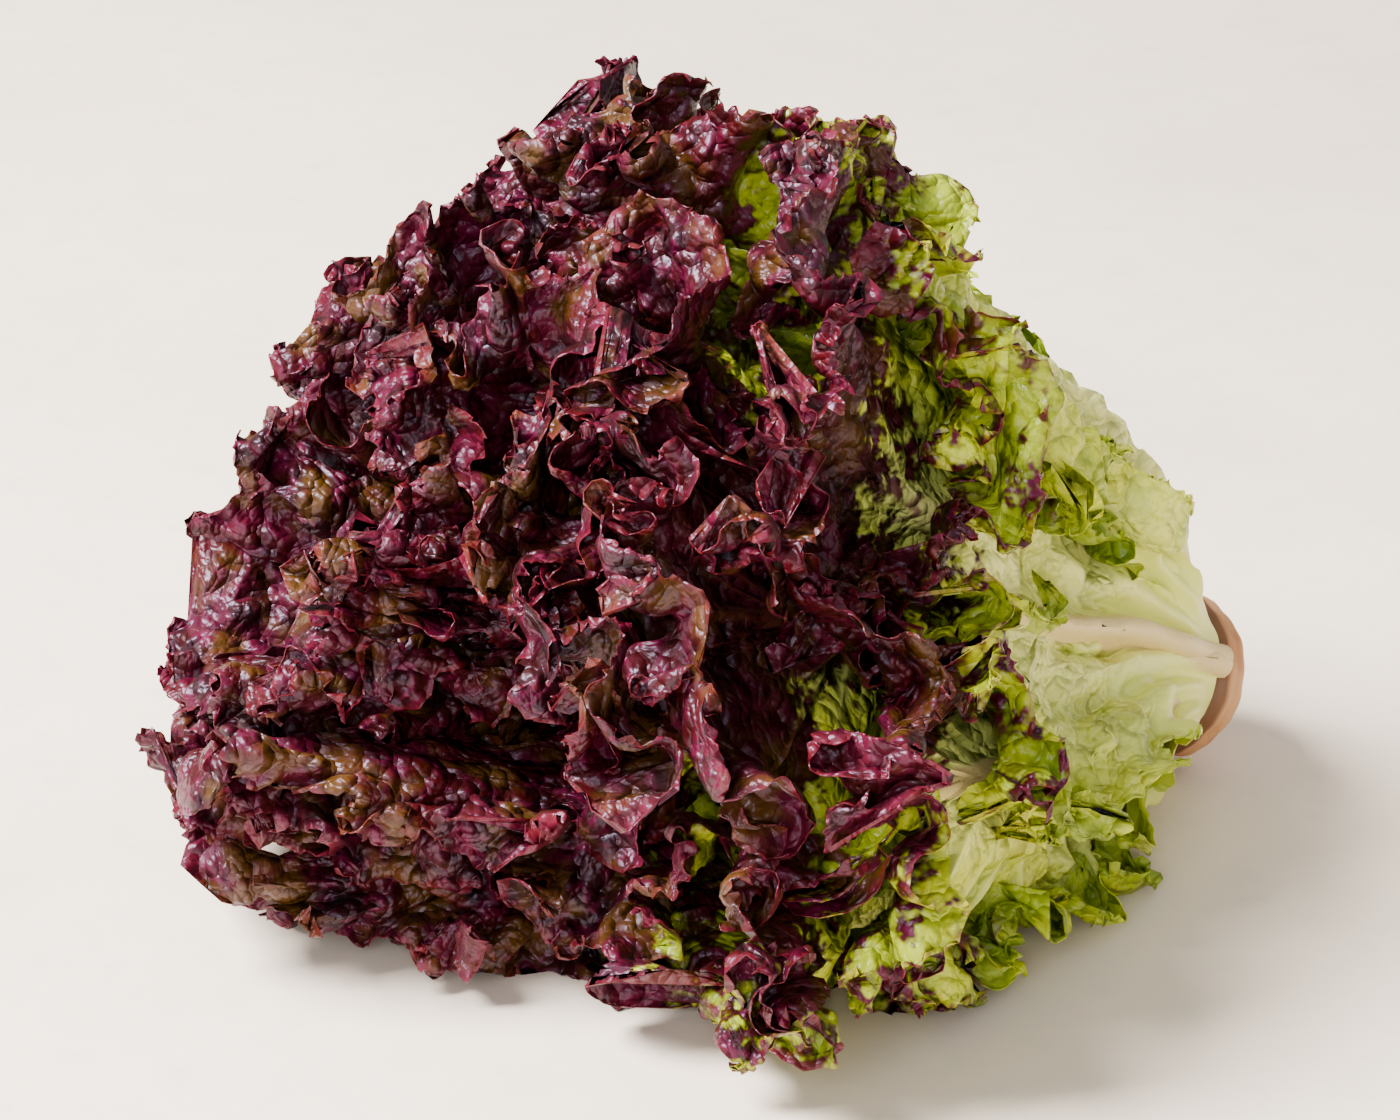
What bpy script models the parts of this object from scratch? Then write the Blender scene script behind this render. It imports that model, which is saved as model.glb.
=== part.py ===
"""A head of red leaf lettuce, as cut, lying on its side on a flat surface.

The head is a short stem with a cut end, and leaves that rise from it in a spiral. Every leaf is a
waved blade on its own shell of the head, so that neighbours nest and stay clear of each other.
A place in the head is given by its shell (0 the heart's middle, 1 the outermost leaf), its turn
round the stem and its share of the way up the shell, from the stem to the crown.
Metres, +Z up. The cut end points towards +X and down, and the frilled crown towards -X and up.
"""

import math

import bmesh
import bpy
import numpy as np
from mathutils import Matrix, Vector

# The head
LEAF_COUNT = 27
GOLDEN_ANGLE = math.radians(137.508)
LAST_LEAF_TURN = math.radians(28)
SEED = 7
HEAD_TILT = math.radians(22)
CUT_END_X = 0.12095
CUT_END_Y = -0.0031
CUT_END_HEIGHT = 0.01675

# The crown, a dome that is hollow at the heart
CROWN_RADIUS = 0.110
CROWN_RISE = 0.078
CROWN_CENTRE = 0.154
CROWN_SPREAD = math.radians(110)
HEART_HOLLOW = 0.50
HEART_HOLLOW_ANGLE = math.radians(29)
HEART_SHARE = 0.13

# The stem
STEM_RADIUS = 0.0190
STEM_RIM = 0.0030
STEM_RIM_STEPS = 4
STEM_BUTT_LENGTH = 0.0068
STEM_CLEARANCE = 0.0019
STEM_SIDES = 40

# Where the leaf bases stand on the stem, and how the shells rise from there
BASE_RADIUS_INNER = 0.0060
BASE_RADIUS_OUTER = 0.0188
BASE_HEIGHT_INNER = 0.0420
BASE_HEIGHT_OUTER = 0.0095
BASE_LEAN = math.radians(46)
TIP_LEAN_INNER = math.radians(-6)
TIP_LEAN_OUTER = math.radians(82)
TIP_LEAN_POWER = 0.7
BASE_REACH = 0.38
TIP_REACH = 0.20

# Where the head isn't round, as (turn, focus, gain of width, gain of height, gain of lean): the side
# that it lies on, the side where the last leaf stands up, the lower front and the lower back, then
# the top and the front, whose leaves bulge out from low down, and the tall back of the crown
HEAD_WIDTH = 1.08
UNEVEN_SIDES = (
    (math.radians(254), 2.8, -0.39, 0.23, -0.30),
    (math.radians(30), 5.0, -0.34, 0.10, -0.55),
    (math.radians(306), 6.0, -0.15, -0.24, 0.30),
    (math.radians(228), 7.0, 0.21, -0.05, 0.20),
    (math.radians(86), 3.5, 0.02, 0.00, 0.40),
    (math.radians(338), 9.0, 0.14, 0.00, 0.16),
    (math.radians(146), 4.0, 0.04, 0.08, 0.00),
    (math.radians(268), 10.0, 0.00, 0.06, 0.00),
)

# A leaf's flat outline, as shares of its length
BLADE_HALF_WIDTH = 0.50
BLADE_BASE_SHARE = 0.24
BLADE_WIDENING = 1.25
BLADE_TIP_ROUNDING = 6
INNER_BLADE_WIDTH = 0.66
TIP_VARIATION = (0.88, 1.10)
VEIN_TOP = 0.62
VEIN_SPREAD = 0.80
EDGE_STEP = 0.01

# How far round the head a blade reaches to each side
WRAP_LIMIT = math.radians(61)
WRAP_RADIUS = 0.008

# Thickness of a blade, and of its rib at the base
BLADE_THICKNESS = 0.0008
RIB_THICKNESS = 0.0026
RIB_TOP = 0.60
RIB_NARROWING = 1.5

# The ruffles of a leaf's own, which grow towards its margin
RUFFLES_OUTER = 10
RUFFLES_INNER = 6
RUFFLE_SHELL_SHARE = 0.034
RUFFLE_SIDE_SHARE = 0.60
RUFFLE_START = 0.30
RUFFLE_LEAN = 0.13
RUFFLE_BASE_FADE = 0.25
RUFFLE_LEAN_FADE = 0.70
RUFFLE_SIDE_FADE = 1.6
RUFFLE_WANDER = ((0.72, 2.3), (0.48, 5.1))
RUFFLE_SWELL = 0.25
RUFFLE_SWELLS = 3.1

# The folds that neighbouring leaves share, as (folds round the head, depth as a share of the
# shells, first and last shell, drift of the folds from shell to shell)
SHARED_FOLDS = (
    (15, 0.058, 0.39, 1.16, 5.6),
    (8, 0.052, 0.09, 0.61, 5.4),
    (3, 0.030, 0.05, 1.20, 4.3),
)
FOLD_START = 0.50
FOLD_LEAN = 0.24

# How the shared folds meander, as (size, waves round the head, shift from one set of folds to the
# next, shift up the shell)
FOLD_WANDER = (
    (0.055, 3, 1.3, 0.0),
    (0.035, 5, 3.1, 0.0),
    (0.060, 2, 1.0, 6.0),
    (0.020, 4, 2.0, -10.0),
)

# The grid of a blade, from its midrib to its margin
COLUMNS_PER_RUFFLE = 4.2
ROWS = (0.0, 0.34, 0.62, 0.84, 1.0)

# Points nearer to each other than this are one point
MERGE_DISTANCE = 0.00001

# How the head sags and settles on the surface: not at all on the stem, and in full on the crown
SAG_SPREAD = 0.04
SAG_MIDDLE_HEIGHT = 0.085
SAG_CENTRE = 0.130
FLOOR_SOFTNESS = 0.0060
FLOOR_DROP = 0.0055
SETTLE_START = 0.042
SETTLE_FULL = 0.082


def smooth_step(x):
    x = np.clip(x, 0.0, 1.0)
    return x * x * (3 - 2 * x)


def mix(a, b, share):
    return a + (b - a) * share


def base_point(shell):
    """Radius and height of the leaf bases of a shell."""
    radius = mix(BASE_RADIUS_INNER, BASE_RADIUS_OUTER, shell)
    height = mix(BASE_HEIGHT_INNER, BASE_HEIGHT_OUTER, shell)
    return radius, height


def crown_point(shell):
    """Radius and height of the point on the crown where a shell ends."""
    angle = CROWN_SPREAD * shell
    hollow = 1 - HEART_HOLLOW * np.exp(-((angle / HEART_HOLLOW_ANGLE) ** 2))
    return CROWN_RADIUS * hollow * np.sin(angle), CROWN_CENTRE + CROWN_RISE * hollow * np.cos(angle)


def shell_profile(shell, turn, rise):
    """Radius and height at a share of the way up a shell, a cubic from the stem to the crown."""
    r0, w0 = base_point(shell)
    r3, w3 = crown_point(shell)
    span = np.hypot(r3 - r0, w3 - w0)
    width, height, lean = HEAD_WIDTH, 1.0, 1.0
    for side_turn, focus, wider, higher, further in UNEVEN_SIDES:
        nearness = np.exp(focus * (np.cos(turn - side_turn) - 1))
        width = width + wider * nearness
        height = height + higher * nearness
        lean = lean + further * nearness
    base_lean = BASE_LEAN * shell * lean
    tip_lean = mix(TIP_LEAN_INNER, TIP_LEAN_OUTER, shell**TIP_LEAN_POWER)
    r1 = r0 + BASE_REACH * span * np.sin(base_lean)
    w1 = w0 + BASE_REACH * span * np.cos(base_lean)
    r2 = r3 - TIP_REACH * span * np.sin(tip_lean)
    w2 = w3 - TIP_REACH * span * np.cos(tip_lean)
    inside = np.minimum(rise, 1.0)
    beyond = rise - inside
    rest = 1 - inside
    b0, b1, b2, b3 = rest**3, 3 * rest * rest * inside, 3 * rest * inside**2, inside**3
    r = b0 * r0 + b1 * r1 + b2 * r2 + b3 * r3 + 3 * beyond * (r3 - r2)
    w = b0 * w0 + b1 * w1 + b2 * w2 + b3 * w3 + 3 * beyond * (w3 - w2)
    return r0 + (r - r0) * width, w0 + (w - w0) * height


def folded(shell, turn, rise):
    """Moves points across the shells in folds that all leaves share, so that they nest."""
    moved = shell
    grown = smooth_step((rise - FOLD_START) / (1 - FOLD_START))
    for number, (folds, depth, first, last, drift) in enumerate(SHARED_FOLDS):
        middle, half = (first + last) / 2, (last - first) / 2
        window = grown * (1 - smooth_step((np.abs(shell - middle) / half - 0.5) / 0.5))
        wander = sum(
            size * np.sin(waves * turn + shift * number + climb * rise)
            for size, waves, shift, climb in FOLD_WANDER
        )
        phase = folds * (turn + wander) + drift * shell
        moved = moved + depth * window * np.cos(phase)
        turn = turn + FOLD_LEAN / folds * window * np.sin(2 * phase)
    return np.maximum(moved, 0.001), turn


def blade_half_width(rise):
    """Half-width of the flat blade at a share of its length, as a share of its widest."""
    widening = BLADE_BASE_SHARE + (1 - BLADE_BASE_SHARE) * rise**BLADE_WIDENING
    return widening * np.sqrt(np.maximum(1 - rise**BLADE_TIP_ROUNDING, 0.0))


def margin_table(samples=400):
    """The blade's edge from tip to base: its share of the way, its half-width, height and length."""
    rise = np.sin(np.linspace(math.pi / 2, 0, samples))
    across = BLADE_HALF_WIDTH * blade_half_width(rise)
    way = np.concatenate([[0], np.cumsum(np.hypot(np.diff(across), np.diff(rise)))])
    return way / way[-1], across, rise, way[-1]


MARGIN_WAY, MARGIN_ACROSS, MARGIN_RISE, MARGIN_LENGTH = margin_table()


class Leaf:
    """One leaf of the spiral. Number 0 is the heart's innermost leaf.

    A point on it is u, the way along its margin from the tip (0) to a base corner (-1 or 1), and v,
    the share of the way from the midrib to the margin, along a side vein.
    """

    def __init__(self, number):
        self.name = f"leaf_{number + 1:02d}"
        self.shell = (number + 0.5) / LEAF_COUNT
        self.turn = LAST_LEAF_TURN + (LEAF_COUNT - 1 - number) * GOLDEN_ANGLE
        r, w = shell_profile(self.shell, self.turn, np.linspace(0, 1, 60))
        rng = np.random.default_rng(SEED * 100 + number)
        self.length = float(np.hypot(np.diff(r), np.diff(w)).sum())
        self.reach = rng.uniform(*TIP_VARIATION)
        self.width = self.length * mix(INNER_BLADE_WIDTH, 1.0, self.shell)
        self.ruffles = mix(RUFFLES_INNER, RUFFLES_OUTER, self.shell)
        self.phases = rng.uniform(0, 2 * math.pi, 4)

    def flat_point(self, u, v):
        """Shares across and along the flat blade, and the margin's direction at u."""
        way = np.abs(u)
        ends = np.stack([np.maximum(way - EDGE_STEP, 0.0), np.minimum(way + EDGE_STEP, 1.0)])
        edge_across = np.diff(np.interp(ends, MARGIN_WAY, MARGIN_ACROSS), axis=0)[0]
        edge_rise = np.diff(np.interp(ends, MARGIN_WAY, MARGIN_RISE), axis=0)[0]
        edge = np.hypot(edge_across, edge_rise)
        foot = VEIN_TOP * (1 - way) ** VEIN_SPREAD
        rise = mix(foot, np.interp(way, MARGIN_WAY, MARGIN_RISE) * self.reach, v)
        across = np.sign(u) * np.interp(way, MARGIN_WAY, MARGIN_ACROSS) * v
        return across, rise, edge_across / edge, np.sign(u) * edge_rise / edge

    def ruffle(self, u, v):
        """Depth of the leaf's own ruffles as a share of the shells, and their lean along the margin."""
        wander = sum(
            size * np.sin(waves * math.pi * u + start)
            for (size, waves), start in zip(RUFFLE_WANDER, self.phases)
        )
        phase = math.pi * self.ruffles * u + wander + self.phases[2]
        before_base = 1 - np.abs(u)
        growth = smooth_step((v - RUFFLE_START) / (1 - RUFFLE_START))
        growth = growth * smooth_step(before_base / RUFFLE_BASE_FADE)
        swell = 1 + RUFFLE_SWELL * np.sin(RUFFLE_SWELLS * math.pi * u + self.phases[3])
        swell = swell * mix(1.0, RUFFLE_SIDE_SHARE, smooth_step(np.abs(u) * RUFFLE_SIDE_FADE))
        depth = RUFFLE_SHELL_SHARE * smooth_step(self.shell / HEART_SHARE) * swell * growth
        wave = 2 * MARGIN_LENGTH / self.ruffles
        lean = RUFFLE_LEAN * wave * growth * smooth_step(before_base / RUFFLE_LEAN_FADE)
        return -depth * np.cos(phase), lean * np.sin(2 * phase)

    def surface(self, u, v):
        """Points of the blade's middle surface, in the head's own frame."""
        across, rise, edge_across, edge_rise = self.flat_point(u, v)
        depth, lean = self.ruffle(u, v)
        across = across + lean * edge_across * np.sign(u + 1e-9)
        rise = np.maximum(rise + lean * edge_rise, 0.0)
        shell = np.maximum(self.shell + depth, 0.001)
        r, w = shell_profile(shell, self.turn, rise)
        reach = self.width / (r + WRAP_RADIUS)
        widest = BLADE_HALF_WIDTH * blade_half_width(np.minimum(rise / self.reach, 1.0)) * reach
        drawn_in = (1 + (widest / WRAP_LIMIT) ** 4) ** -0.25
        turn = self.turn + across * reach * drawn_in
        shell, turn = folded(shell, turn, rise)
        r, w = shell_profile(shell, turn, rise)
        return r * np.cos(turn), r * np.sin(turn), w

    def rib_share(self, u, v):
        """How far the blade thickens into its rib: 1 at the middle of the base, 0 on the blade."""
        foot = VEIN_TOP * (1 - np.abs(u)) ** VEIN_SPREAD
        return (1 - smooth_step(foot / RIB_TOP)) * (1 - v) ** RIB_NARROWING


def tilted(x, y, w):
    """From the head's own frame (x to the front, y up its tilted side, w up the stem) to the world."""
    across, up = math.sin(HEAD_TILT), math.cos(HEAD_TILT)
    return CUT_END_X - w * up + y * across, CUT_END_Y - x, CUT_END_HEIGHT + w * across + y * up


def settled(x, y, w, half_thickness):
    """From the head's own frame to the world, as the leaves lie.

    The lower side spreads under the head's weight, and what would reach below the surface is
    pressed flat on it, in the same order as above it.
    """
    world_x, world_y, z = tilted(x, y, w)
    share = smooth_step((w - SETTLE_START) / (SETTLE_FULL - SETTLE_START))
    spread = share * SAG_SPREAD * (1 - z / SAG_MIDDLE_HEIGHT)
    world_x = world_x + spread * (world_x - CUT_END_X + SAG_CENTRE * math.cos(HEAD_TILT))
    world_y = world_y + spread * (world_y - CUT_END_Y)
    pressed = 0.5 * (z + np.sqrt(z * z + 4 * FLOOR_SOFTNESS**2)) - FLOOR_DROP
    z = np.maximum(mix(z, pressed, share), half_thickness)
    return world_x, world_y, z


def new_material(name, colour, roughness):
    material = bpy.data.materials.new(name)
    material.use_nodes = True
    shader = material.node_tree.nodes["Principled BSDF"]
    shader.inputs["Base Color"].default_value = (*colour, 1)
    shader.inputs["Roughness"].default_value = roughness
    shader.inputs["Metallic"].default_value = 0
    return material


def leaf_object(leaf, collection, material):
    """A leaf's blade as a grid, zipped together along the midrib and given its thickness."""
    columns = 2 * round(COLUMNS_PER_RUFFLE * leaf.ruffles / 2)
    bm = bmesh.new()
    bmesh.ops.create_grid(bm, x_segments=columns, y_segments=len(ROWS) - 1, size=1)
    grid = np.array([vert.co for vert in bm.verts])
    u = grid[:, 0]
    row = np.rint((grid[:, 1] + 1) / 2 * (len(ROWS) - 1)).astype(int)
    v = np.array(ROWS)[row]
    rib = leaf.rib_share(u, v)
    head_x, head_y, w = leaf.surface(u, v)
    x, y, z = settled(head_x, head_y, w, mix(BLADE_THICKNESS, RIB_THICKNESS, rib) / 2)
    for vert, place in zip(bm.verts, zip(x, y, z)):
        vert.co = place
    weights = bm.verts.layers.deform.verify()
    for vert, weight in zip(bm.verts, rib):
        vert[weights][0] = weight
    midrib = [vert for vert, r in zip(bm.verts, row) if r == 0]
    bmesh.ops.remove_doubles(bm, verts=midrib, dist=MERGE_DISTANCE)
    bmesh.ops.triangulate(bm, faces=bm.faces)
    bmesh.ops.recalc_face_normals(bm, faces=bm.faces)
    mesh = bpy.data.meshes.new(leaf.name)
    bm.to_mesh(mesh)
    bm.free()
    mesh.shade_smooth()
    mesh.materials.append(material)
    obj = bpy.data.objects.new(leaf.name, mesh)
    collection.objects.link(obj)
    obj.vertex_groups.new(name="rib")
    solid = obj.modifiers.new("thickness", "SOLIDIFY")
    solid.offset = 0
    solid.thickness = RIB_THICKNESS
    solid.vertex_group = "rib"
    solid.thickness_vertex_group = BLADE_THICKNESS / RIB_THICKNESS
    return obj


def stem_profile():
    """Outline of the stem from its growing tip to its cut face, as (radius, height)."""
    inner, outer = base_point(0.0), base_point(1.0)
    slope = math.hypot(outer[0] - inner[0], outer[1] - inner[1])
    inset_radius = STEM_CLEARANCE * (inner[1] - outer[1]) / slope
    inset_height = STEM_CLEARANCE * (outer[0] - inner[0]) / slope
    tip = (inner[0] - inset_radius, inner[1] - inset_height)
    shoulder = (outer[0] - inset_radius, outer[1] - inset_height)
    profile = [(0.0, tip[1]), tip, shoulder, (STEM_RADIUS, STEM_BUTT_LENGTH)]
    for step in range(STEM_RIM_STEPS + 1):
        angle = math.pi / 2 * step / STEM_RIM_STEPS
        radius = STEM_RADIUS - STEM_RIM * (1 - math.cos(angle))
        profile.append((radius, STEM_RIM * (1 - math.sin(angle))))
    profile.append((0.0, 0.0))
    return profile


def stem_object(collection, material):
    """The short stem, turned about its own axis and tilted as the head lies."""
    profile = stem_profile()
    mesh = bpy.data.meshes.new("stem")
    edges = [(i, i + 1) for i in range(len(profile) - 1)]
    mesh.from_pydata([(radius, 0, height) for radius, height in profile], edges, [])
    mesh.materials.append(material)
    obj = bpy.data.objects.new("stem", mesh)
    collection.objects.link(obj)
    turned = obj.modifiers.new("turned", "SCREW")
    turned.steps = turned.render_steps = STEM_SIDES
    turned.use_merge_vertices = True
    turned.merge_threshold = MERGE_DISTANCE
    turned.use_normal_calculate = True
    middle = Vector(tilted(0, 0, 0))
    axes = [Vector(tilted(*axis)) - middle for axis in ((1, 0, 0), (0, 1, 0), (0, 0, 1))]
    obj.matrix_world = Matrix.Translation(middle) @ Matrix(axes).transposed().to_4x4()
    return obj


def main():
    for obj in list(bpy.data.objects):
        bpy.data.objects.remove(obj)
    collection = bpy.data.collections.new("red_leaf_lettuce")
    bpy.context.scene.collection.children.link(collection)
    leaf_blade = new_material("leaf_blade", (0.17, 0.02, 0.04), 0.4)
    stem_flesh = new_material("stem_flesh", (0.66, 0.42, 0.26), 0.6)
    stem_object(collection, stem_flesh)
    for number in range(LEAF_COUNT):
        leaf_object(Leaf(number), collection, leaf_blade)


main()
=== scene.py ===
"""Red leaf lettuce: a cut head that lies on its side, with ruffled dark red leaves and a pale stem end.

Metres, +Z up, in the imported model's frame. The cut end points towards +X and the crown towards -X.
"""

import math

import bmesh
import bpy
import numpy as np
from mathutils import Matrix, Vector


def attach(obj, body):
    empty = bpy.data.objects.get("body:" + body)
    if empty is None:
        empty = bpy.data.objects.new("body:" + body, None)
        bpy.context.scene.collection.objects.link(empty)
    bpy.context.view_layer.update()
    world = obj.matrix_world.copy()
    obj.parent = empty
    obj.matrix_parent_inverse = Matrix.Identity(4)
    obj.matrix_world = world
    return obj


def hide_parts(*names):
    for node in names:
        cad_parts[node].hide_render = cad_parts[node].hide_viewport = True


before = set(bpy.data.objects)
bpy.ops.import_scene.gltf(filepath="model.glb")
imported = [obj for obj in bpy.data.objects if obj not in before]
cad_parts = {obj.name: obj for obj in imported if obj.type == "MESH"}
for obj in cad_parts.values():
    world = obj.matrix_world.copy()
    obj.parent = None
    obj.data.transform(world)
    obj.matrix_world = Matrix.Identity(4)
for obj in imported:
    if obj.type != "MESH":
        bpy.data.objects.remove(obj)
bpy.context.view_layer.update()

# The stem
# A lettuce's short core, cut straight across below its lowest leaves. The cut rim has dried to a
# pinkish brown, and thin scars show where the outermost leaves were pulled off.

HEAD_TILT = math.radians(22)
CUT_END_X = 0.12095
CUT_END_Y = -0.0031
CUT_END_HEIGHT = 0.01675

STEM_RADIUS = 0.0190
STEM_RIM = 0.0030
STEM_BUTT_LENGTH = 0.0068
STEM_CLEARANCE = 0.0019
STEM_SIDES = 160
POLE_RADIUS = 0.0001
RIM_STEPS = 8
FACE_STEPS = 12
SIDE_STEPS = 6

# How the dried butt is uneven: (size, waves round it, start) of its outline, then its scars, how far
# it has shrunk and the hollows of its cut face
BUTT_WAVES = ((0.00030, 3, 0.7), (0.00022, 7, 2.0), (0.00012, 17, 0.0))
GROOVE_DEPTH = 0.00025
GROOVE_WAVES = 2600
SHRINKAGE = 0.0004
FACE_HOLLOWS = 0.00035

# Where the stem's colours change: up its side to the scars, out across its cut face to the ring of
# veins and past it, out to the dried rim, and at the face itself
SCARS_FROM = (0.0062, 0.0075)
RING_STARTS = (0.0105, 0.0118)
RING_ENDS = (0.0140, 0.0126)
RIM_FROM = (0.0150, 0.0172)
FACE_UP_TO = (0.0006, 0.0001)

# Where the innermost and the outermost leaves sit on the stem
BASE_RADIUS_INNER = 0.0060
BASE_RADIUS_OUTER = 0.0188
BASE_HEIGHT_INNER = 0.0420
BASE_HEIGHT_OUTER = 0.0095


def smooth_step(x):
    x = np.clip(x, 0.0, 1.0)
    return x * x * (3 - 2 * x)


def mix(a, b, share):
    return a + (b - a) * share


def tilted(x, y, w):
    """From the head's own frame (x to the front, y up its tilted side, w up the stem) to the world."""
    across, up = math.sin(HEAD_TILT), math.cos(HEAD_TILT)
    return CUT_END_X - w * up + y * across, CUT_END_Y - x, CUT_END_HEIGHT + w * across + y * up


def base_point(shell):
    """Radius and height of the leaf bases of a shell."""
    radius = mix(BASE_RADIUS_INNER, BASE_RADIUS_OUTER, shell)
    height = mix(BASE_HEIGHT_INNER, BASE_HEIGHT_OUTER, shell)
    return radius, height


def node_material(name):
    """A new material with its Principled shader, and short ways to add and join its nodes."""
    material = bpy.data.materials.new(name)
    material.use_nodes = True
    tree = material.node_tree
    shader = tree.nodes["Principled BSDF"]

    def add(kind, **settings):
        node = tree.nodes.new("ShaderNode" + kind)
        for key, value in settings.items():
            if key[0].isupper():
                node.inputs[key.replace("_", " ")].default_value = value
            else:
                setattr(node, key, value)
        return node

    def blend(factor, first, second):
        node = add("Mix", data_type="RGBA")
        sockets = (node.inputs[0], node.inputs[6], node.inputs[7])
        for socket, value in zip(sockets, (factor, first, second)):
            if isinstance(value, bpy.types.NodeSocket):
                tree.links.new(value, socket)
            elif socket == node.inputs[0]:
                socket.default_value = value
            else:
                socket.default_value = (*value, 1)
        return node.outputs[2]

    def ramp(source, low, high):
        node = add("MapRange", interpolation_type="SMOOTHSTEP")
        node.inputs["From Min"].default_value = low
        node.inputs["From Max"].default_value = high
        tree.links.new(source, node.inputs["Value"])
        return node.outputs["Result"]

    def arithmetic(operation, first, second=0.0):
        node = add("Math", operation=operation)
        for socket, value in zip(node.inputs, (first, second)):
            if isinstance(value, bpy.types.NodeSocket):
                tree.links.new(value, socket)
            else:
                socket.default_value = value
        return node.outputs[0]

    return material, tree, shader, add, blend, ramp, arithmetic


def stem_material():
    """Dried rim, creamy cut face with its ring of veins, and pale sides under the leaf bases."""
    material, tree, shader, add, blend, ramp, arithmetic = node_material("stem_flesh")
    place = add("Attribute", attribute_name="stem_place")
    height = add("SeparateXYZ")
    tree.links.new(place.outputs["Vector"], height.inputs[0])
    fibres = add("TexNoise", Scale=420.0, Detail=4.0, Roughness=0.6)
    tree.links.new(place.outputs["Vector"], fibres.inputs["Vector"])
    patches = add("TexNoise", Scale=95.0, Detail=3.0, Roughness=0.55)
    tree.links.new(place.outputs["Vector"], patches.inputs["Vector"])
    around = blend(ramp(patches.outputs["Fac"], 0.36, 0.64), (0.50, 0.21, 0.085), (0.64, 0.34, 0.15))
    waver = arithmetic("MULTIPLY", patches.outputs["Fac"], 0.0015)
    scar = ramp(arithmetic("ADD", height.outputs["Z"], waver), *SCARS_FROM)
    side = blend(scar, around, (0.20, 0.085, 0.035))
    inner = ramp(height.outputs["X"], *RIM_FROM)
    flesh = blend(ramp(patches.outputs["Fac"], 0.35, 0.65), (0.74, 0.60, 0.38), (0.60, 0.40, 0.22))
    ring_starts = ramp(height.outputs["X"], *RING_STARTS)
    ring_ends = ramp(height.outputs["X"], *RING_ENDS)
    ring = arithmetic("MULTIPLY", ring_starts, ring_ends)
    face = blend(ring, flesh, (0.50, 0.26, 0.12))
    down = ramp(height.outputs["Z"], *FACE_UP_TO)
    colour = blend(down, side, blend(inner, face, side))
    tree.links.new(colour, shader.inputs["Base Color"])
    shader.inputs["Roughness"].default_value = 0.55
    shader.inputs["Subsurface Weight"].default_value = 0.15
    shader.inputs["Subsurface Radius"].default_value = (0.003, 0.0015, 0.0006)
    bump = add("Bump", Strength=0.5, Distance=0.0006)
    tree.links.new(fibres.outputs["Fac"], bump.inputs["Height"])
    tree.links.new(bump.outputs["Normal"], shader.inputs["Normal"])
    return material


def stem_rings():
    """Radius and height of each ring of the stem, from its growing tip round to the cut face."""
    inner, outer = base_point(0.0), base_point(1.0)
    slope = math.hypot(outer[0] - inner[0], outer[1] - inner[1])
    inset_radius = STEM_CLEARANCE * (inner[1] - outer[1]) / slope
    inset_height = STEM_CLEARANCE * (outer[0] - inner[0]) / slope
    tip = (inner[0] - inset_radius, inner[1] - inset_height)
    shoulder = (outer[0] - inset_radius, outer[1] - inset_height)
    rings = [(POLE_RADIUS, tip[1])]
    for k in range(SIDE_STEPS + 1):
        share = k / SIDE_STEPS
        rings.append((mix(tip[0], shoulder[0], share), mix(tip[1], shoulder[1], share)))
    rings += [(STEM_RADIUS - 0.0004, STEM_BUTT_LENGTH + 0.0002)]
    for k in range(SIDE_STEPS + 1):
        rings.append((STEM_RADIUS, mix(STEM_BUTT_LENGTH, STEM_RIM, k / SIDE_STEPS)))
    for step in range(1, RIM_STEPS + 1):
        angle = math.pi / 2 * step / RIM_STEPS
        rings.append((STEM_RADIUS - STEM_RIM * (1 - math.cos(angle)), STEM_RIM * (1 - math.sin(angle))))
    face = STEM_RADIUS - STEM_RIM
    rings += [(face * (1 - k / FACE_STEPS), 0.0) for k in range(1, FACE_STEPS)]
    return rings + [(POLE_RADIUS, 0.0)]


def stem_piece():
    """The stem as one closed surface, turned round its rings."""
    rings = stem_rings()
    bm = bmesh.new()
    bmesh.ops.create_grid(bm, x_segments=STEM_SIDES, y_segments=len(rings) - 1, size=1)
    grid = np.array([vert.co for vert in bm.verts])
    turn = math.pi * grid[:, 0]
    row = np.rint((grid[:, 1] + 1) / 2 * (len(rings) - 1)).astype(int)
    radius, height = np.array(rings)[row].T
    butt = smooth_step((STEM_BUTT_LENGTH + 0.001 - height) / 0.002) * smooth_step(radius / 0.012)
    uneven = sum(size * np.sin(waves * turn + start) for size, waves, start in BUTT_WAVES)
    groove = GROOVE_DEPTH * np.sin(height * GROOVE_WAVES + 1.4 * np.sin(3 * turn))
    groove = groove * smooth_step((height - 0.002) / 0.002)
    radius_bent = radius + butt * (uneven + groove - SHRINKAGE)
    on_face = butt * smooth_step((0.0010 - height) / 0.001)
    height_bent = height + on_face * FACE_HOLLOWS * (1 + np.sin(5 * turn + radius * 900))
    x, y, z = tilted(radius_bent * np.cos(turn), radius_bent * np.sin(turn), height_bent)
    for vert, point in zip(bm.verts, zip(x, y, z)):
        vert.co = point
    places = bm.verts.layers.float_vector.new("stem_place")
    for vert, point in zip(bm.verts, zip(radius, turn * 0.01, height)):
        vert[places] = point
    bmesh.ops.remove_doubles(bm, verts=bm.verts, dist=0.00002)
    bmesh.ops.recalc_face_normals(bm, faces=bm.faces)
    mesh = bpy.data.meshes.new("stem_cut_end")
    bm.to_mesh(mesh)
    bm.free()
    mesh.shade_smooth()
    mesh.materials.append(stem_material())
    piece = bpy.data.objects.new("stem_cut_end", mesh)
    bpy.context.scene.collection.objects.link(piece)
    return piece


stem = stem_piece()
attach(stem, "root")
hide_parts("stem")

# The leaves
# Thin blades that rise from the stem in a spiral, each on its own shell of the head, so that they
# nest, though some still cross, most of all in the heart. A place in the head is its shell (0 the
# heart's middle, 1 the outermost leaf), its turn round the stem and its share of the way up the shell.

LEAF_COUNT = 27
GOLDEN_ANGLE = math.radians(137.508)
LAST_LEAF_TURN = math.radians(28)
SEED = 7

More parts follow.
